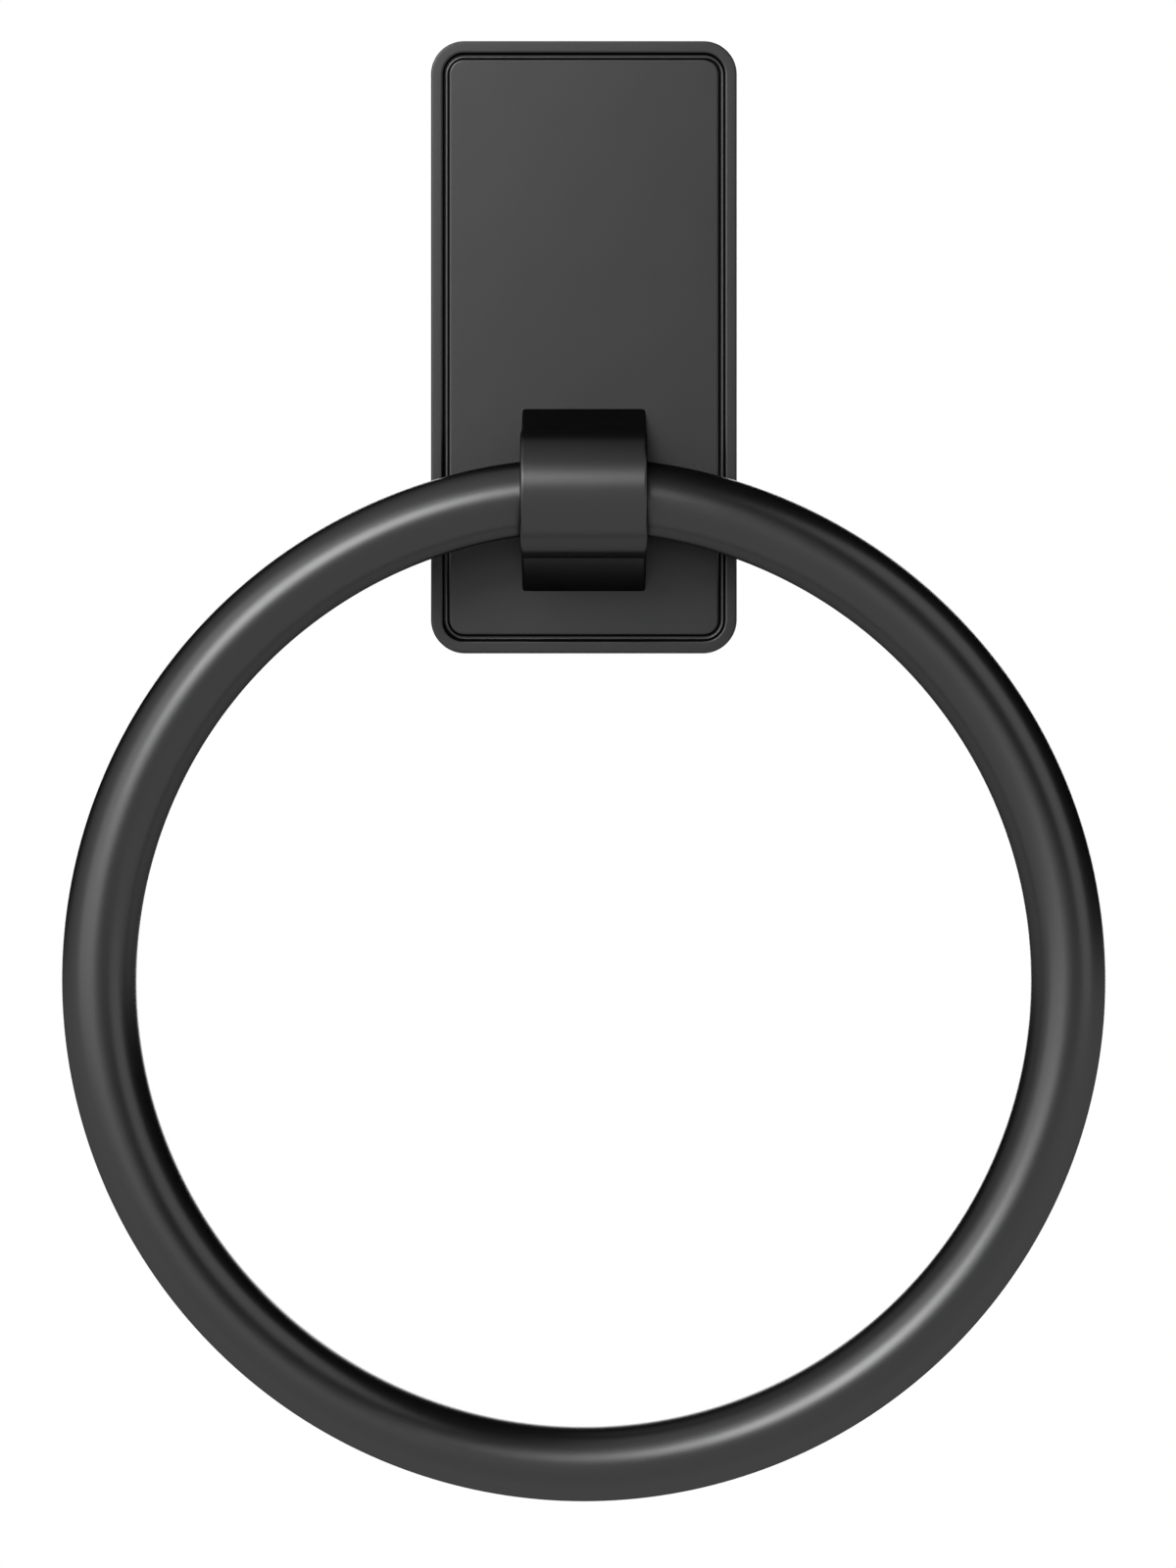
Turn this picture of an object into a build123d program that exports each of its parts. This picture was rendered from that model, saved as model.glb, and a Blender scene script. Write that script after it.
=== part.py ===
from build123d import *
from math import degrees, sqrt
import os

os.makedirs("parts", exist_ok=True)

# A wall towel ring: a stick-on plate, a cast bracket low on it, and a tube ring that swings in the bracket.
# Millimetres. The origin is the centre of the face that meets the wall. The front looks towards -Y, +Z is up.

# Plate: one cast plate, with a round-bottomed groove all round its front, close to the edge
plate_width = 50.8
plate_height = 101.6
plate_corner = 5.5
plate_floor = 4.5
plate_round = 0.3
groove_inset = 2.03
groove_width = 0.93
groove_bottom_flat = 0.03
groove_wall = 0.05
groove_lip_round = 0.4

# Foam pad: it sits part way into a pocket in the back and stands the plate off the wall
pad_thickness = 1.1
pocket_depth = 0.5
pocket_inset = 2.6
pad_clearance = 0.2

# Countersunk screws, driven from behind through the plate into the bracket
screw_diameter = 4.0
screw_head_diameter = 7.5
screw_head_land = 0.3
screw_grip = 7.5
screw_pitch = 14.0
screw_tip_chamfer = 0.4
screw_clearance = 0.15
thread_clearance = 0.03
seat_clearance = 0.04
tip_clearance = 1.2
cross_width = 0.8
cross_length = 4.2
cross_depth = 1.3

# Ring: a round tube bent to a full circle, its two ends meeting inside the bracket
ring_outer_diameter = 168.6
tube_diameter = 12.0
tube_wall = 1.0
ring_sag = 0.45
ring_seam = 0.3

# Bracket: a flared foot, a straight neck and a round nose, bored across for the ring
bracket_lift = 25.35
bracket_width = 20.4
bore_clearance = 0.3
bore_mouth_round = 0.5
nose_wall = 2.56
flare_length = 11.4
flare_rise = 5.15
flare_blend = 3.0
neck_length = 9.9
bracket_round = 0.5

# Sizes that follow from the ones above
ring_radius = (ring_outer_diameter - tube_diameter) / 2
tube_radius = tube_diameter / 2
half_width = bracket_width / 2
bow_in_bore = ring_radius - sqrt(ring_radius**2 - half_width**2)
bore_radius = tube_radius + bow_in_bore + ring_sag + bore_clearance
nose_radius = bore_radius + nose_wall
axis_reach = flare_length + neck_length
bracket_drop = plate_height / 2 - bracket_lift

screw_radius = screw_diameter / 2
screw_head_radius = screw_head_diameter / 2
screw_head_height = screw_head_land + screw_head_radius - screw_radius
screw_length = plate_floor + screw_grip

plate_back = pad_thickness - pocket_depth
pocket_front = pad_thickness
plate_front = pocket_front + plate_floor
plate_thickness = plate_front - plate_back

groove_bottom_round = (groove_width - groove_bottom_flat) / 2
groove_depth = groove_lip_round + groove_wall + groove_bottom_round
groove_outer_width = plate_width - 2 * groove_inset
groove_outer_height = plate_height - 2 * groove_inset
groove_outer_corner = plate_corner - groove_inset
pocket_width = plate_width - 2 * pocket_inset
pocket_height = plate_height - 2 * pocket_inset
pocket_corner = plate_corner - pocket_inset

# Working planes: one seen from the side, running forward from the plate's face, and two that face the wall
bracket_side = Plane(origin=(0, -plate_front, -bracket_drop), x_dir=(0, -1, 0), z_dir=(-1, 0, 0))
foot_face = Plane(origin=(0, -plate_front, -bracket_drop), x_dir=(1, 0, 0), z_dir=(0, 1, 0))
screw_seat = Plane(origin=(0, -pocket_front, -bracket_drop), x_dir=(1, 0, 0), z_dir=(0, 1, 0))

# Foam pad
with BuildPart() as adhesive_pad:
    with BuildSketch(Plane.XZ):
        RectangleRounded(
            pocket_width - 2 * pad_clearance,
            pocket_height - 2 * pad_clearance,
            pocket_corner - pad_clearance,
        )
    extrude(amount=pad_thickness)

# Plate: softened front edge, the groove and its rounds, pocket behind, two countersunk holes through its floor
with BuildPart() as plate:
    with BuildSketch(Plane.XZ.offset(plate_back)):
        RectangleRounded(plate_width, plate_height, plate_corner)
    extrude(amount=plate_thickness)
    fillet(plate.faces().sort_by(Axis.Y).first.edges(), plate_round)
    with BuildSketch(Plane.XZ.offset(plate_front)):
        RectangleRounded(groove_outer_width, groove_outer_height, groove_outer_corner)
        offset(amount=-groove_width, mode=Mode.SUBTRACT)
    extrude(amount=-groove_depth, mode=Mode.SUBTRACT)
    fillet(plate.edges(Select.LAST).group_by(Axis.Y)[-1], groove_bottom_round)
    rim_face, field_face = plate.faces().group_by(Axis.Y)[0].sort_by(SortBy.AREA)
    fillet(rim_face.inner_wires().edges() + field_face.edges(), groove_lip_round)
    with BuildSketch(Plane.XZ.offset(plate_back)):
        RectangleRounded(pocket_width, pocket_height, pocket_corner)
    extrude(amount=pocket_depth, mode=Mode.SUBTRACT)
    with Locations(screw_seat):
        with GridLocations(0, screw_pitch, 1, 2):
            CounterSinkHole(
                screw_radius + screw_clearance,
                screw_head_radius + screw_head_land + seat_clearance,
                depth=plate_floor,
                counter_sink_angle=90,
            )

# Bracket: one casting, drawn from the side and carried across its width
with BuildPart() as bracket:
    with BuildSketch(bracket_side):
        with BuildLine():
            Polyline((0, nose_radius + flare_rise), (flare_length, nose_radius), (axis_reach, nose_radius))
            CenterArc((axis_reach, 0), nose_radius, -90, 180)
            Polyline(
                (axis_reach, -nose_radius),
                (flare_length, -nose_radius),
                (0, -nose_radius - flare_rise),
                (0, nose_radius + flare_rise),
            )
        make_face()
    extrude(amount=half_width, both=True)
    cross_edges = bracket.edges().filter_by(Axis.X)
    flare_end = -plate_front - flare_length
    fillet(cross_edges.filter_by(lambda e: abs(e.center().Y - flare_end) < 0.001), flare_blend)
    side_edges = bracket.faces().filter_by(Axis.X).edges()
    fillet(side_edges.filter_by(lambda e: e.center().Y < -plate_front - 0.001), bracket_round)
    with BuildSketch(bracket_side):
        with Locations((axis_reach, 0)):
            Circle(bore_radius)
    extrude(amount=half_width, both=True, mode=Mode.SUBTRACT)
    arcs = bracket.edges().filter_by(GeomType.CIRCLE)
    fillet(arcs.filter_by(lambda e: abs(e.radius - bore_radius) < 0.001), bore_mouth_round)
    with Locations(foot_face):
        with GridLocations(0, screw_pitch, 1, 2):
            Hole(screw_radius + thread_clearance, depth=screw_grip + tip_clearance)

# Screws: turned head and shank, a cross recess in each head, the pair either side of the bracket's middle
with BuildPart() as bracket_screws:
    with Locations(screw_seat):
        with GridLocations(0, screw_pitch, 1, 2):
            Cylinder(
                screw_head_radius,
                screw_head_land,
                align=(Align.CENTER, Align.CENTER, Align.MAX),
            )
            with Locations((0, 0, -screw_head_land)):
                Cone(
                    screw_radius,
                    screw_head_radius,
                    screw_head_height - screw_head_land,
                    align=(Align.CENTER, Align.CENTER, Align.MAX),
                )
            Cylinder(
                screw_radius,
                screw_length,
                align=(Align.CENTER, Align.CENTER, Align.MAX),
            )
    tips = bracket_screws.edges().group_by(Axis.Y)[0]
    chamfer(tips, screw_tip_chamfer)
    with Locations(screw_seat):
        with GridLocations(0, screw_pitch, 1, 2):
            for turn in (0, 90):
                Box(
                    cross_length,
                    cross_width,
                    cross_depth,
                    rotation=(0, 0, turn),
                    align=(Align.CENTER, Align.CENTER, Align.MAX),
                    mode=Mode.SUBTRACT,
                )

# Ring: the tube's section carried round the ring's centre, from one end of the seam to the other
ring_centre = (0, -plate_front - axis_reach, -bracket_drop - ring_sag - ring_radius)
with BuildPart() as ring:
    with BuildSketch(bracket_side):
        with Locations((axis_reach, -ring_sag)):
            Circle(tube_radius)
            Circle(tube_radius - tube_wall, mode=Mode.SUBTRACT)
    revolve(axis=Axis(ring_centre, (0, 1, 0)), revolution_arc=360 - degrees(ring_seam / ring_radius))

adhesive_pad.part.label = "adhesive_pad"
export_step(adhesive_pad.part, "parts/adhesive_pad.step")
plate.part.label = "plate"
export_step(plate.part, "parts/plate.step")
bracket.part.label = "bracket"
export_step(bracket.part, "parts/bracket.step")
bracket_screws.part.label = "bracket_screws"
export_step(bracket_screws.part, "parts/bracket_screws.step")
ring.part.label = "ring"
export_step(ring.part, "parts/ring.step")
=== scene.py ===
import math
import bmesh
import bpy
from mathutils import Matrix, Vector


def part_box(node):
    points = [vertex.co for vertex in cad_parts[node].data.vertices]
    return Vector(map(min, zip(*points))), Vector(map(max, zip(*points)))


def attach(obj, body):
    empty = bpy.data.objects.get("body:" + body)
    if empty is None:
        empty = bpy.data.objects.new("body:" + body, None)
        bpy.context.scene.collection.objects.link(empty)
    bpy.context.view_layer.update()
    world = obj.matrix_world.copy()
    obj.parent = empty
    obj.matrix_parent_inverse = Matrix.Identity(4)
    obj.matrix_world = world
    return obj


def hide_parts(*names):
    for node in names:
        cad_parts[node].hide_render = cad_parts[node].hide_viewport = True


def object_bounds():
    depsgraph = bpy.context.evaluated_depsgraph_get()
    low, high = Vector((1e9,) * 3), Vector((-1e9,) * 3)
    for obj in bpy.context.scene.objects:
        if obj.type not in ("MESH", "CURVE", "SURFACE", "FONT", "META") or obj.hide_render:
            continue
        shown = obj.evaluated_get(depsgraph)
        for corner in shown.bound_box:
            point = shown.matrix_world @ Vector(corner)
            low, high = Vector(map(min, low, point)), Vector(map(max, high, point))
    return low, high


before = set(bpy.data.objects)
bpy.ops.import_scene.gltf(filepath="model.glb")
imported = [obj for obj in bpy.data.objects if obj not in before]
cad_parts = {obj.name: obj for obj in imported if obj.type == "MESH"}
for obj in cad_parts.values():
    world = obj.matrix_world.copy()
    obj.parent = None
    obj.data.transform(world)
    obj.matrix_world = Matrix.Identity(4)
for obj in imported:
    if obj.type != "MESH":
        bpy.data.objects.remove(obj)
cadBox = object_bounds()
print("frame loaded:", ", ".join(sorted(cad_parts)))

# a black towel ring on a wall plate, seen square from the front; the front looks towards -Y
mm = 0.001
near, nearCurve = 0.01, 0.02  # mm within which a point is taken to lie on a place, or on a curved outline
merge = 0.002  # mm within which two points become one
past = 1.0  # mm by which a cutter stands out of a piece
facing = 0.9  # a face whose normal has this share along an axis looks that way
alongX, alongY = (0, math.radians(90), 0), (math.radians(90), 0, 0)  # turns that lay a rod on an axis


def pickOnly(piece):  # only this piece is selected, and it is the active one
    bpy.ops.object.select_all(action="DESELECT")
    piece.select_set(True)
    bpy.context.view_layer.objects.active = piece


def openEdit(piece):  # only this piece is selected, and its mesh is open
    pickOnly(piece)
    bpy.ops.object.mode_set(mode="EDIT")


def closeEdit():
    bpy.ops.object.mode_set(mode="OBJECT")


def selectFaces(piece, wanted):  # wanted sees a face's middle in mm and its normal
    bpy.ops.mesh.select_mode(type="FACE")
    bpy.ops.mesh.select_all(action="DESELECT")
    shape = bmesh.from_edit_mesh(piece.data)
    shape.normal_update()
    for face in shape.faces:
        face.select = wanted(face.calc_center_median() / mm, face.normal)
    shape.select_flush_mode()
    bmesh.update_edit_mesh(piece.data)


def selectEdges(piece, wanted):  # wanted sees an edge's two ends in mm
    bpy.ops.mesh.select_mode(type="EDGE")
    bpy.ops.mesh.select_all(action="DESELECT")
    shape = bmesh.from_edit_mesh(piece.data)
    for edge in shape.edges:
        edge.select = wanted(edge.verts[0].co / mm, edge.verts[1].co / mm)
    shape.select_flush_mode()
    bmesh.update_edit_mesh(piece.data)


def startBlock(name, low, high):  # a block between two corners, its place in its mesh
    bpy.ops.object.select_all(action="DESELECT")
    bpy.ops.mesh.primitive_cube_add(size=1, location=(low + high) / 2, scale=high - low)
    piece = bpy.context.object
    piece.name = piece.data.name = name
    bpy.ops.object.transform_apply(location=True, rotation=True, scale=True)
    return piece


def roundEdges(radius, steps):  # a round along the selected edges
    bpy.ops.mesh.bevel(offset=radius * mm, segments=steps, profile=0.5)


def roundCorners(piece, radius, steps):  # the four corners of a plate, seen from the front
    selectEdges(piece, lambda a, b: abs(a.x - b.x) < near and abs(a.z - b.z) < near)
    roundEdges(radius, steps)


def pushFaces(y):  # carries the selected faces along Y, with walls behind them
    bpy.ops.mesh.extrude_region_move(TRANSFORM_OT_translate={"value": (0, y * mm, 0)})


def outlineGap(p, halfWidth, halfHeight, corner):  # how far a point lies from a rounded outline, in mm
    x, z = abs(p.x) - halfWidth + corner, abs(p.z) - halfHeight + corner
    return abs(math.hypot(max(x, 0), max(z, 0)) + min(max(x, z), 0) - corner)


def selectOutline(piece, y, outline):  # the edge loop that runs on this outline at depth y
    def onLoop(p):
        return abs(p.y - y) < near and outlineGap(p, *outline) < nearCurve

    selectEdges(piece, lambda a, b: onLoop(a) and onLoop(b))


def softenOutline(piece, y, outline, radius, steps):
    selectOutline(piece, y, outline)
    roundEdges(radius, steps)


def cutWith(piece, cutter):  # takes the cutter's shape out of the piece and deletes the cutter
    pickOnly(piece)
    cut = piece.modifiers.new("cut", "BOOLEAN")
    cut.object, cut.operation, cut.solver = cutter, "DIFFERENCE", "EXACT"
    bpy.ops.object.modifier_apply(modifier="cut")
    bpy.data.objects.remove(cutter)


def startRod(name, radius, low, high, turn, steps=48, endRadius=None):  # a cutter from point to point
    bpy.ops.object.select_all(action="DESELECT")
    bpy.ops.mesh.primitive_cone_add(
        vertices=steps, radius1=radius * mm, radius2=(endRadius or radius) * mm,
        depth=(high - low).length * mm, location=(low + high) / 2 * mm, rotation=turn)
    rod = bpy.context.object
    rod.name = name
    bpy.ops.object.transform_apply(location=True, rotation=True, scale=True)
    return rod


def closeShape(piece, angle):  # merged, facing outwards, smooth over its rounds and flat on its faces
    openEdit(piece)
    bpy.ops.mesh.select_all(action="SELECT")
    bpy.ops.mesh.remove_doubles(threshold=merge * mm)
    bpy.ops.mesh.normals_make_consistent(inside=False)
    closeEdit()
    bpy.ops.object.shade_smooth_by_angle(angle=math.radians(angle))
    piece.modifiers.new("evenShade", "WEIGHTED_NORMAL").keep_sharp = True
    bpy.ops.object.modifier_apply(modifier="evenShade")


def dress(piece, body, node, material):
    piece.data.materials.clear()
    piece.data.materials.append(material)
    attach(piece, body)
    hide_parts(node)
    print(piece.name, len(piece.data.polygons), "faces")


def fromHex(text):  # an sRGB hex value as linear light
    parts = [int(text[i:i + 2], 16) / 255 for i in (1, 3, 5)]
    return [c / 12.92 if c <= 0.04045 else ((c + 0.055) / 1.055) ** 2.4 for c in parts] + [1]


def addNode(tree, kind, settings=None, links=None):  # a node, its settings, and sockets linked into it
    node = tree.nodes.new(kind)
    for key, value in (settings or {}).items():
        if isinstance(key, int) or key in node.inputs:
            node.inputs[key].default_value = value
        else:
            setattr(node, key, value)
    for key, socket in (links or {}).items():
        tree.links.new(socket, node.inputs[key])
    return node


def emptyMaterial(name):
    material = bpy.data.materials.new(name)
    material.use_nodes = True
    material.node_tree.nodes.clear()
    return material, material.node_tree


def startMaterial(name, settings):  # a shader with its fixed values, and the place that its patterns follow
    material, tree = emptyMaterial(name)
    shader = addNode(tree, "ShaderNodeBsdfPrincipled", settings)
    addNode(tree, "ShaderNodeOutputMaterial", None, {"Surface": shader.outputs["BSDF"]})
    place = addNode(tree, "ShaderNodeTexCoord").outputs["Object"]
    return material, tree, shader, place


# satin black powder coat, sprayed dry and baked: a soft broad gleam with a faint orange peel in it
# sizes and heights in mm; the grit is drawn two or three times as coarse as it is, so that it shows
coat = {"base": "#050506", "fleck": "#080809", "ior": 1.5, "gloss": 0.29, "dull": 0.31,
        "peel": 1.4, "peelHeight": 0.0016, "grit": 0.16, "gritHeight": 0.00012, "mottle": 9.0}
plateCoat = dict(coat, ior=1.44, gloss=0.3, dull=0.32)  # it settles a little duller on the broad flat plate


def makePowderCoat(name, size):
    material, tree, shader, place = startMaterial(name, {"IOR": size["ior"], "Metallic": 0.0})
    peel = addNode(tree, "ShaderNodeTexNoise",
                   {"Scale": 1 / (size["peel"] * mm), "Detail": 2.0, "Roughness": 0.45}, {"Vector": place})
    grit = addNode(tree, "ShaderNodeTexNoise",
                   {"Scale": 1 / (size["grit"] * mm), "Detail": 1.0}, {"Vector": place})
    mottle = addNode(tree, "ShaderNodeTexNoise",
                     {"Scale": 1 / (size["mottle"] * mm), "Detail": 3.0}, {"Vector": place})
    tint = addNode(tree, "ShaderNodeMix",
                   {"data_type": "RGBA", 6: fromHex(size["base"]), 7: fromHex(size["fleck"])},
                   {0: grit.outputs["Fac"]})
    rough = addNode(tree, "ShaderNodeMapRange",
                    {"From Min": 0.3, "From Max": 0.7, "To Min": size["gloss"], "To Max": size["dull"]},
                    {"Value": mottle.outputs["Fac"]})
    wave = addNode(tree, "ShaderNodeBump", {"Strength": 1.0, "Distance": size["peelHeight"] * mm},
                   {"Height": peel.outputs["Fac"]})
    grain = addNode(tree, "ShaderNodeBump", {"Strength": 1.0, "Distance": size["gritHeight"] * mm},
                    {"Height": grit.outputs["Fac"], "Normal": wave.outputs["Normal"]})
    tree.links.new(tint.outputs[2], shader.inputs["Base Color"])
    tree.links.new(rough.outputs["Result"], shader.inputs["Roughness"])
    tree.links.new(grain.outputs["Normal"], shader.inputs["Normal"])
    return material


# closed-cell polyethylene foam, skived to a sheet: pale grey, with cut cells that pit its face, and painted
# shade that darkens each pit towards its bottom
foam = {"wall": "#dcdbd8", "pitShade": "#bdbbb8", "ior": 1.45, "rough": 0.85,
        "cellSize": 0.55, "cellDepth": 0.06, "cloud": 7.0}


def makeFoam(name, size):
    material, tree, shader, place = startMaterial(
        name, {"IOR": size["ior"], "Roughness": size["rough"], "Metallic": 0.0})
    cells = addNode(tree, "ShaderNodeTexVoronoi",
                    {"feature": "F1", "Scale": 1 / (size["cellSize"] * mm)}, {"Vector": place})
    cloud = addNode(tree, "ShaderNodeTexNoise",
                    {"Scale": 1 / (size["cloud"] * mm), "Detail": 4.0}, {"Vector": place})
    thick = addNode(tree, "ShaderNodeMapRange", {"To Min": 0.9, "To Max": 1.1},
                    {"Value": cloud.outputs["Fac"]})
    mixed = addNode(tree, "ShaderNodeMath", {"operation": "MULTIPLY"},
                    {0: cells.outputs["Distance"], 1: thick.outputs["Result"]})
    pit = addNode(tree, "ShaderNodeMapRange", {"From Min": 0.1, "From Max": 0.7},
                  {"Value": mixed.outputs[0]})
    # painted shade: each cell is coloured darker towards the bottom of its pit
    tint = addNode(tree, "ShaderNodeMix",
                   {"data_type": "RGBA", 6: fromHex(size["pitShade"]), 7: fromHex(size["wall"])},
                   {0: pit.outputs["Result"]})
    bump = addNode(tree, "ShaderNodeBump", {"Strength": 1.0, "Distance": size["cellDepth"] * mm},
                   {"Height": pit.outputs["Result"]})
    tree.links.new(tint.outputs[2], shader.inputs["Base Color"])
    tree.links.new(bump.outputs["Normal"], shader.inputs["Normal"])
    return material


# bright zinc on turned steel: a cool grey metal with fine lathe rings and a cloudy passivated film
zinc = {"metal": "#c3c5c7", "film": "#adb0b6", "gloss": 0.24, "dull": 0.38,
        "cloud": 1.6, "lathe": 0.22, "latheDepth": 0.01}
waveLength = 0.314  # a wave texture of scale 1 repeats at this distance


def makeZincSteel(name, size):
    material, tree, shader, place = startMaterial(name, {"Metallic": 1.0})
    cloud = addNode(tree, "ShaderNodeTexNoise",
                    {"Scale": 1 / (size["cloud"] * mm), "Detail": 4.0}, {"Vector": place})
    lathe = addNode(tree, "ShaderNodeTexWave",
                    {"wave_type": "BANDS", "bands_direction": "Y", "Distortion": 0.4,
                     "Scale": waveLength / (size["lathe"] * mm)}, {"Vector": place})
    tint = addNode(tree, "ShaderNodeMix",
                   {"data_type": "RGBA", 6: fromHex(size["metal"]), 7: fromHex(size["film"])},
                   {0: cloud.outputs["Fac"]})
    rough = addNode(tree, "ShaderNodeMapRange", {"To Min": size["gloss"], "To Max": size["dull"]},
                    {"Value": cloud.outputs["Fac"]})
    bump = addNode(tree, "ShaderNodeBump", {"Strength": 0.4, "Distance": size["latheDepth"] * mm},
                   {"Height": lathe.outputs["Fac"]})
    tree.links.new(tint.outputs[2], shader.inputs["Base Color"])
    tree.links.new(rough.outputs["Result"], shader.inputs["Roughness"])
    tree.links.new(bump.outputs["Normal"], shader.inputs["Normal"])
    return material


powderCoat = makePowderCoat("satinBlackPowderCoat", coat)
dullerCoat = makePowderCoat("plateBlackPowderCoat", plateCoat)
paleFoam = makeFoam("closedCellFoam", foam)
zincSteel = makeZincSteel("zincPlatedSteel", zinc)
print("materials made")

# places that several pieces share, in mm
axisY, axisZ = -26.9, -25.45  # the bracket's bore
screwHeights = (axisZ - 7.0, axisZ + 7.0)

# plate: one casting with a round-bottomed groove close to its edge, and a pocket for the pad behind
plate = {"corner": 5.5, "cornerSteps": 20, "frontRound": 0.3, "frontSteps": 5,
         "backRound": 0.2, "backSteps": 2, "grooveInset": 2.03, "grooveWidth": 0.93, "grooveDepth": 0.9,
         "grooveLip": 0.4, "lipSteps": 6, "grooveBottom": 0.45, "bottomSteps": 9,
         "pocketInset": 2.6, "pocketDepth": 0.5,
         "hole": 2.15, "seat": 4.09, "seatSpare": 0.5, "smooth": 32}


def makePlate(size):
    low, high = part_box("plate")
    piece = startBlock("wallPlate", low, high)
    halfWidth, halfHeight, front, back = high.x / mm, high.z / mm, low.y / mm, high.y / mm
    openEdit(piece)
    roundCorners(piece, size["corner"], size["cornerSteps"])
    selectFaces(piece, lambda c, n: n.y < -facing)
    bpy.ops.mesh.inset(thickness=size["grooveInset"] * mm, use_even_offset=True)
    bpy.ops.mesh.inset(thickness=size["grooveWidth"] * mm, use_even_offset=True, use_select_inset=True)
    pushFaces(size["grooveDepth"])
    selectFaces(piece, lambda c, n: n.y > facing and c.y > back - near)
    bpy.ops.mesh.inset(thickness=size["pocketInset"] * mm, use_even_offset=True)
    pushFaces(-size["pocketDepth"])
    outer = (halfWidth, halfHeight, size["corner"])
    rimSide = tuple(v - size["grooveInset"] for v in outer)
    fieldSide = tuple(v - size["grooveWidth"] for v in rimSide)
    softenOutline(piece, front, outer, size["frontRound"], size["frontSteps"])
    softenOutline(piece, back, outer, size["backRound"], size["backSteps"])
    for wall in (rimSide, fieldSide):  # a lip at the top of each wall, a half round between their feet
        softenOutline(piece, front, wall, size["grooveLip"], size["lipSteps"])
        softenOutline(piece, front + size["grooveDepth"], wall, size["grooveBottom"], size["bottomSteps"])
    closeEdit()
    seat = back - size["pocketDepth"]
    sink, spare = size["seat"] - size["hole"], size["seatSpare"]
    for z in screwHeights:  # a countersunk hole from the pocket through to the front
        cutWith(piece, startRod("clearHole", size["hole"], Vector((0, front - past, z)),
                                Vector((0, seat + past, z)), alongY))
        cutWith(piece, startRod("sinkCone", size["seat"] + spare, Vector((0, seat - sink, z)),
                                Vector((0, seat + spare, z)), alongY, endRadius=size["hole"]))
    closeShape(piece, size["smooth"])
    dress(piece, "wall_mount", "plate", dullerCoat)


# bracket: one casting with a flared foot, a straight neck and a round nose, bored across for the ring
bracket = {"noseSteps": 40, "noseGap": 0.005, "flareLength": 11.4, "flareRise": 5.15, "flareSpare": 1.0,
           "flareBlend": 3.0, "blendSteps": 6, "edgeRound": 0.5, "edgeSteps": 6, "bore": 7.417,
           "boreSteps": 128, "mouthRound": 0.5, "mouthSteps": 5, "screwHole": 2.03, "screwDepth": 8.7,
           "screwSteps": 32, "smooth": 32}


def makeBracket(size):
    low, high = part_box("bracket")
    foot, nose, half = high.y / mm, low.y / mm, high.x / mm
    radius = axisY - nose  # the round nose is centred on the bore
    neck = foot - size["flareLength"]
    top, bottom = axisZ + radius, axisZ - radius
    core = half - size["edgeRound"]
    piece = startBlock("bracketCasting", Vector((-core, nose, bottom)) * mm, Vector((core, neck, top)) * mm)
    openEdit(piece)
    selectEdges(piece, lambda a, b: max(abs(a.y - nose), abs(b.y - nose), abs(a.z - b.z)) < near)
    roundEdges(radius - size["noseGap"], size["noseSteps"])
    bpy.ops.mesh.select_all(action="SELECT")
    bpy.ops.mesh.remove_doubles(threshold=4 * size["noseGap"] * mm)  # the two rounds meet
    selectFaces(piece, lambda c, n: n.y > facing)
    pushFaces(size["flareLength"] + size["flareSpare"])  # past the foot, where it is cut off below
    slope = size["flareRise"] / size["flareLength"]
    rise = slope * (size["flareLength"] + size["flareSpare"])
    for level, move in ((top, rise), (bottom, -rise)):  # the foot spreads up and down
        selectEdges(piece, lambda a, b: all(p.y > foot and abs(p.z - level) < near for p in (a, b)))
        bpy.ops.transform.translate(value=(0, 0, move * mm))
    for level in (top, bottom):  # the hollow where foot meets neck
        selectEdges(piece, lambda a, b: all(max(abs(p.y - neck), abs(p.z - level)) < near for p in (a, b)))
        roundEdges(size["flareBlend"] * math.tan(math.atan(slope) / 2), size["blendSteps"])
    turns = [math.radians(90 * step / size["edgeSteps"]) for step in range(size["edgeSteps"] + 1)]
    for way in (-1, 1):  # each side is drawn out and in by steps, which rounds its edges
        selectFaces(piece, lambda c, n: n.x * way > facing)
        bpy.ops.mesh.dissolve_faces()
        for turn, turned in zip(turns, turns[1:]):
            bpy.ops.mesh.inset(thickness=size["edgeRound"] * (math.cos(turn) - math.cos(turned)) * mm,
                               depth=size["edgeRound"] * (math.sin(turned) - math.sin(turn)) * mm,
                               use_even_offset=True)
    bpy.ops.mesh.select_all(action="SELECT")
    bpy.ops.mesh.bisect(plane_co=(0, foot * mm, 0), plane_no=(0, 1, 0), use_fill=True, clear_outer=True)
    closeEdit()
    reach = half + 2 * past
    cutWith(piece, startRod("bore", size["bore"], Vector((-reach, axisY, axisZ)),
                            Vector((reach, axisY, axisZ)), alongX, size["boreSteps"]))

    def onMouth(p):
        off = math.hypot(p.y - axisY, p.z - axisZ) - size["bore"]
        return abs(abs(p.x) - half) < near and abs(off) < nearCurve

    openEdit(piece)
    selectEdges(piece, lambda a, b: onMouth(a) and onMouth(b))
    roundEdges(size["mouthRound"], size["mouthSteps"])
    closeEdit()
    for z in screwHeights:
        cutWith(piece, startRod("screwHole", size["screwHole"], Vector((0, foot - size["screwDepth"], z)),
                                Vector((0, foot + past, z)), alongY, size["screwSteps"]))
    closeShape(piece, size["smooth"])
    dress(piece, "wall_mount", "bracket", powderCoat)


# ring: a tube bent to a full circle, its cut ends nearly meeting inside the bracket
ring = {"tube": 6.0, "wall": 1.0, "sag": 0.45, "seam": 0.3, "tubeSteps": 64, "ringSteps": 300, "smooth": 40}


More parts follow.
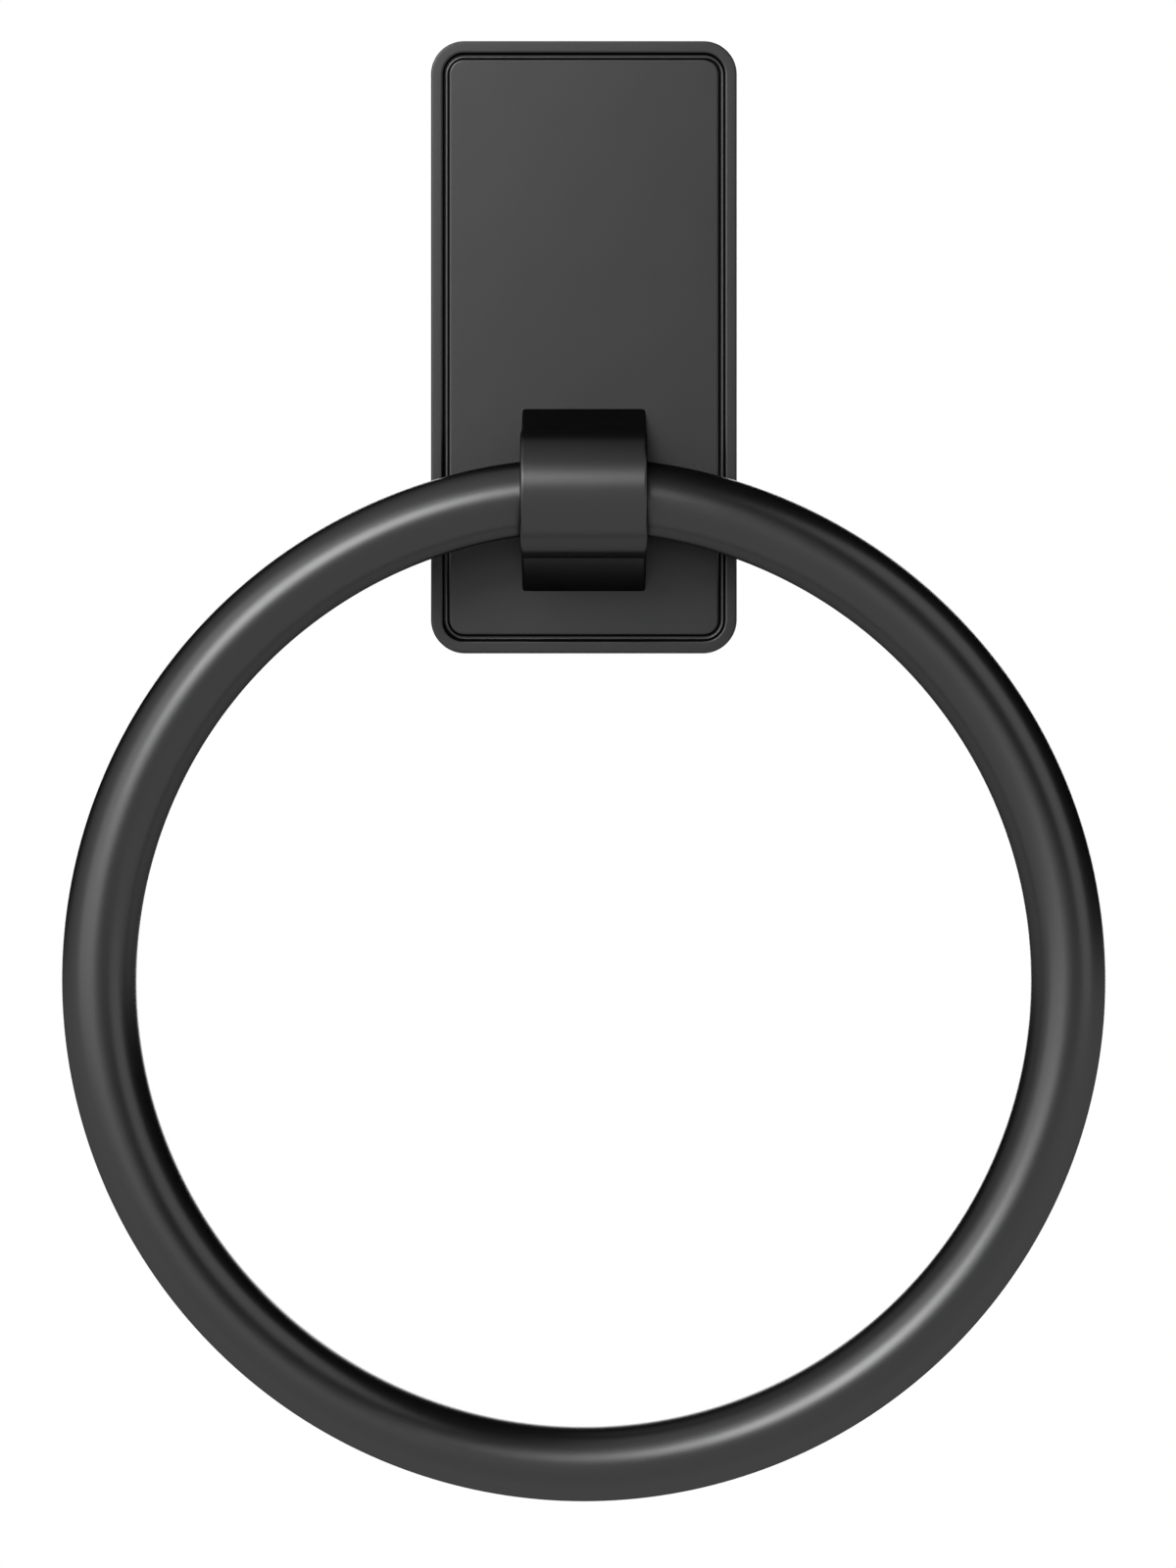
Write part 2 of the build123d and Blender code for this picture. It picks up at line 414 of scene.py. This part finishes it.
def makeRing(size):
    low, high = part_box("ring")
    centre = (low + high) / 2
    bend = (high.x - low.x) / 2 - size["tube"] * mm
    bpy.ops.object.select_all(action="DESELECT")
    bpy.ops.mesh.primitive_circle_add(
        vertices=size["tubeSteps"], radius=size["tube"] * mm, fill_type="NOTHING",
        location=(0, axisY * mm, (axisZ - size["sag"]) * mm), rotation=alongX)
    piece = bpy.context.object
    piece.name = piece.data.name = "towelRing"
    bpy.ops.object.transform_apply(location=True, rotation=True, scale=True)
    openEdit(piece)
    bpy.ops.mesh.select_all(action="SELECT")
    bpy.ops.mesh.spin(steps=size["ringSteps"], angle=math.radians(360) - size["seam"] * mm / bend,
                      center=centre, axis=(0, 1, 0))
    bpy.ops.mesh.select_all(action="SELECT")
    bpy.ops.mesh.remove_doubles(threshold=merge * mm)
    bpy.ops.mesh.normals_make_consistent(inside=False)
    closeEdit()
    wall = piece.modifiers.new("wall", "SOLIDIFY")
    wall.thickness, wall.offset, wall.use_rim = size["wall"] * mm, -1, True
    bpy.ops.object.modifier_apply(modifier="wall")
    bpy.ops.object.shade_smooth_by_angle(angle=math.radians(size["smooth"]))
    dress(piece, "ring", "ring", powderCoat)


# foam pad: die-cut from sheet, so its edge draws in a little between its two skins
pad = {"corner": 2.7, "cornerSteps": 10, "edgeRound": 0.12, "edgeSteps": 3, "waist": 0.08, "smooth": 50}


def makePad(size):
    low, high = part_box("adhesive_pad")
    waistY = (low.y + high.y) / 2
    piece = startBlock("foamPad", low, Vector((high.x, waistY, high.z)))
    halfWidth, halfHeight = high.x / mm, high.z / mm
    openEdit(piece)
    roundCorners(piece, size["corner"], size["cornerSteps"])
    selectFaces(piece, lambda c, n: n.y > facing)
    pushFaces((high.y - waistY) / mm)
    outer = (halfWidth, halfHeight, size["corner"])
    selectOutline(piece, waistY / mm, outer)
    bpy.ops.transform.resize(value=(1 - size["waist"] / halfWidth, 1, 1 - size["waist"] / halfHeight),
                             center_override=(0, waistY, 0))
    for y in (low.y / mm, high.y / mm):
        softenOutline(piece, y, outer, size["edgeRound"], size["edgeSteps"])
    closeEdit()
    closeShape(piece, size["smooth"])
    dress(piece, "wall_mount", "adhesive_pad", paleFoam)


makePlate(plate)
makeBracket(bracket)
makeRing(ring)
makePad(pad)
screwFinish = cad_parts["bracket_screws"].data.materials  # the CAD screws stay, in zinc
screwFinish.clear()
screwFinish.append(zincSteel)
print("pieces made")

# camera: square on to the plate, low enough to look at the ring's upper half
shot = {"lens": 110.6, "sensor": 36.0, "place": (0.685, -805.6, -72.6), "clip": (0.01, 50)}


def makeCamera(size):
    data = bpy.data.cameras.new("frontCamera")
    data.lens, data.sensor_width, data.sensor_fit = size["lens"], size["sensor"], "AUTO"
    data.clip_start, data.clip_end = size["clip"]
    camera = bpy.data.objects.new("frontCamera", data)
    camera.location = Vector(size["place"]) * mm
    camera.rotation_euler = (math.radians(90), 0, 0)
    bpy.context.scene.collection.objects.link(camera)
    bpy.context.scene.camera = camera


# studio: a white surround, a bright soft box high on the left, weaker ones beside it and on the right,
# a lamp behind, and a black canopy over the upper right and two black nets behind that only reflections see
# distances and radii in m, the floor in mm, directions in degrees seen from the object
surround = {"backdrop": 1.0, "mirrored": 1.14, "fill": 0.25}  # how bright it is, and 1 is white
floorPaper = {"drop": -300.0, "radius": 500.0, "colour": "#f4f4f2", "fadeFrom": 0.45, "fadeTo": 0.98}
softBoxes = (  # shine is a panel's own brightness
    {"name": "keyPanel", "azimuth": -19, "height": 23.1, "far": 4.0,
     "wide": 26, "tall": 20, "shine": 12.5},
    {"name": "leftPanel", "azimuth": -36.5, "height": 21.5, "far": 15.0,
     "wide": 54, "tall": 56, "shine": 1.95},
    {"name": "rightPanel", "azimuth": 54.3, "height": 26, "far": 15.0,
     "wide": 35, "tall": 59, "shine": 1.55},
)
backLamp = {"azimuth": 176, "height": 10, "far": 15.0, "wide": 34, "tall": 26, "shine": 2.6}
canopy = {"radius": 40.0, "rightFrom": 2.8, "lowEdge": 0.0}
backNets = (  # thin and dense are places along Y, as shares of the radius
    {"name": "upperNet", "above": True, "radius": 38.0, "thin": -0.3, "dense": 0.62},
    {"name": "lowerNet", "above": False, "radius": 38.0, "thin": -0.22, "dense": 1.0},
)
panelDepth, skyDepth = 1.5, 2.5  # past these ray depths the coat mirrors itself; the world counts one more


def aim(azimuth, height):  # a direction from the object: azimuth 0 is the front, positive to the right
    a, h = math.radians(azimuth), math.radians(height)
    return Vector((math.sin(a) * math.cos(h), -math.cos(a) * math.cos(h), math.sin(h)))


def span(size, angle):  # what an angle covers at the lamp's distance
    return 2 * size["far"] * math.tan(math.radians(size[angle] / 2))


def makeSoftBox(size, target):  # a glowing panel, dark where the black coat mirrors itself
    away = aim(size["azimuth"], size["height"])
    bpy.ops.object.select_all(action="DESELECT")
    bpy.ops.mesh.primitive_plane_add(size=1, location=target + away * size["far"],
                                     rotation=away.to_track_quat("Z", "Y").to_euler())
    panel = bpy.context.object
    panel.name = size["name"]
    panel.scale = (span(size, "wide"), span(size, "tall"), 1)
    panel.visible_camera = panel.visible_shadow = False
    material, tree = emptyMaterial(size["name"])
    material.cycles.emission_sampling = "FRONT_BACK"
    path = addNode(tree, "ShaderNodeLightPath")
    direct = addNode(tree, "ShaderNodeMath", {"operation": "LESS_THAN", 1: panelDepth},
                     {0: path.outputs["Ray Depth"]})
    shine = addNode(tree, "ShaderNodeMath", {"operation": "MULTIPLY", 1: size["shine"]},
                    {0: direct.outputs[0]})
    glow = addNode(tree, "ShaderNodeEmission", None, {"Strength": shine.outputs[0]})
    clear = addNode(tree, "ShaderNodeBsdfTransparent")  # what stands behind a panel shows through it
    both = addNode(tree, "ShaderNodeAddShader", None, {0: glow.outputs[0], 1: clear.outputs[0]})
    addNode(tree, "ShaderNodeOutputMaterial", None, {"Surface": both.outputs[0]})
    panel.data.materials.append(material)


def makeBackLamp(size, target):  # for views from behind
    data = bpy.data.lights.new("backLamp", "AREA")
    data.shape = "RECTANGLE"
    data.size, data.size_y = span(size, "wide"), span(size, "tall")
    data.energy = size["shine"] * math.pi * data.size * data.size_y
    lamp = bpy.data.objects.new("backLamp", data)
    away = aim(size["azimuth"], size["height"])
    lamp.location = target + away * size["far"]
    lamp.rotation_euler = away.to_track_quat("Z", "Y").to_euler()
    lamp.visible_camera = False
    bpy.context.scene.collection.objects.link(lamp)


def startCover(name, size, target, isOpen):  # a sphere round the set, for reflections only
    bpy.ops.object.select_all(action="DESELECT")
    bpy.ops.mesh.primitive_uv_sphere_add(segments=120, ring_count=60, radius=size["radius"],
                                         location=target)
    cover = bpy.context.object
    cover.name = name
    openEdit(cover)
    selectFaces(cover, lambda c, n: isOpen((c - target / mm).normalized()))  # directions to leave open
    bpy.ops.mesh.delete(type="FACE")
    closeEdit()
    cover.visible_camera = cover.visible_diffuse = False
    cover.visible_shadow = cover.visible_transmission = False
    material, tree = emptyMaterial(name)
    cover.data.materials.append(material)
    felt = addNode(tree, "ShaderNodeBsdfDiffuse", {"Color": fromHex("#000000")})
    return tree, felt.outputs[0]


def makeCanopy(size, target):  # black felt over the upper right
    def isOpen(away):
        azimuth, height = math.degrees(math.atan2(away.x, -away.y)), math.degrees(math.asin(away.z))
        return height < size["lowEdge"] or not 180 > azimuth > size["rightFrom"]

    tree, felt = startCover("blackCanopy", size, target, isOpen)
    addNode(tree, "ShaderNodeOutputMaterial", None, {"Surface": felt})


def makeBackNet(size, target):  # black net behind, thin at the sides and closer towards the back
    def isOpen(away):
        return away.y < size["thin"] or (away.z > 0) != size["above"]

    tree, felt = startCover(size["name"], size, target, isOpen)
    place = addNode(tree, "ShaderNodeTexCoord").outputs["Object"]
    depth = addNode(tree, "ShaderNodeSeparateXYZ", None, {0: place}).outputs["Y"]
    cover = addNode(tree, "ShaderNodeMapRange",
                    {"From Min": size["thin"] * size["radius"],
                     "From Max": size["dense"] * size["radius"]}, {"Value": depth})
    clear = addNode(tree, "ShaderNodeBsdfTransparent")
    blend = addNode(tree, "ShaderNodeMixShader", None,
                    {0: cover.outputs["Result"], 1: clear.outputs[0], 2: felt})
    addNode(tree, "ShaderNodeOutputMaterial", None, {"Surface": blend.outputs[0]})


def makeSurround(size):  # white to the camera and in reflections, a weak fill elsewhere
    world = bpy.data.worlds.new("whiteSurround")
    bpy.context.scene.world = world
    world.use_nodes = True
    tree = world.node_tree
    tree.nodes.clear()
    path = addNode(tree, "ShaderNodeLightPath")
    seen = addNode(tree, "ShaderNodeMath", {"operation": "MAXIMUM"},
                   {0: path.outputs["Is Camera Ray"], 1: path.outputs["Is Transmission Ray"]})
    shown = addNode(tree, "ShaderNodeMapRange", {"To Min": size["fill"], "To Max": size["backdrop"]},
                    {"Value": seen.outputs[0]})
    level = addNode(tree, "ShaderNodeMapRange", {"To Max": size["mirrored"]},
                    {"Value": path.outputs["Is Glossy Ray"], "To Min": shown.outputs["Result"]})
    first = addNode(tree, "ShaderNodeMath", {"operation": "LESS_THAN", 1: skyDepth},
                    {0: path.outputs["Ray Depth"]})
    strength = addNode(tree, "ShaderNodeMath", {"operation": "MULTIPLY"},
                       {0: level.outputs["Result"], 1: first.outputs[0]})
    sky = addNode(tree, "ShaderNodeBackground", {"Color": fromHex("#ffffff")},
                  {"Strength": strength.outputs[0]})
    addNode(tree, "ShaderNodeOutputWorld", None, {"Surface": sky.outputs[0]})
    world.cycles.sampling_method = "NONE"  # light by bounced rays only, so that the canopy hides it


def makeFloor(size):  # pale paper that keeps the shadow and fades to white at its rim
    bpy.ops.object.select_all(action="DESELECT")
    bpy.ops.mesh.primitive_circle_add(vertices=96, radius=size["radius"] * mm, fill_type="NGON",
                                      location=(0, 0, size["drop"] * mm))
    floor = bpy.context.object
    floor.name = "paleFloor"
    floor.visible_glossy = False  # there the coat shows the surround, white in front and dark behind
    material, tree = emptyMaterial("palePaper")
    place = addNode(tree, "ShaderNodeTexCoord").outputs["Object"]
    away = addNode(tree, "ShaderNodeVectorMath", {"operation": "LENGTH"}, {0: place}).outputs["Value"]
    fade = addNode(tree, "ShaderNodeMapRange",
                   {"From Min": size["fadeFrom"] * size["radius"] * mm,
                    "From Max": size["fadeTo"] * size["radius"] * mm}, {"Value": away})
    matt = addNode(tree, "ShaderNodeBsdfDiffuse", {"Color": fromHex(size["colour"])})
    white = addNode(tree, "ShaderNodeEmission", {"Color": fromHex("#ffffff"), "Strength": 1.0})
    blend = addNode(tree, "ShaderNodeMixShader", None,
                    {0: fade.outputs["Result"], 1: matt.outputs[0], 2: white.outputs[0]})
    addNode(tree, "ShaderNodeOutputMaterial", None, {"Surface": blend.outputs[0]})
    floor.data.materials.append(material)


middle = (cadBox[0] + cadBox[1]) / 2
makeCamera(shot)
for softBox in softBoxes:
    makeSoftBox(softBox, middle)
makeBackLamp(backLamp, middle)
makeCanopy(canopy, middle)
for net in backNets:
    makeBackNet(net, middle)
makeSurround(surround)
makeFloor(floorPaper)
bpy.context.scene.view_settings.view_transform = "Standard"
print("studio made")
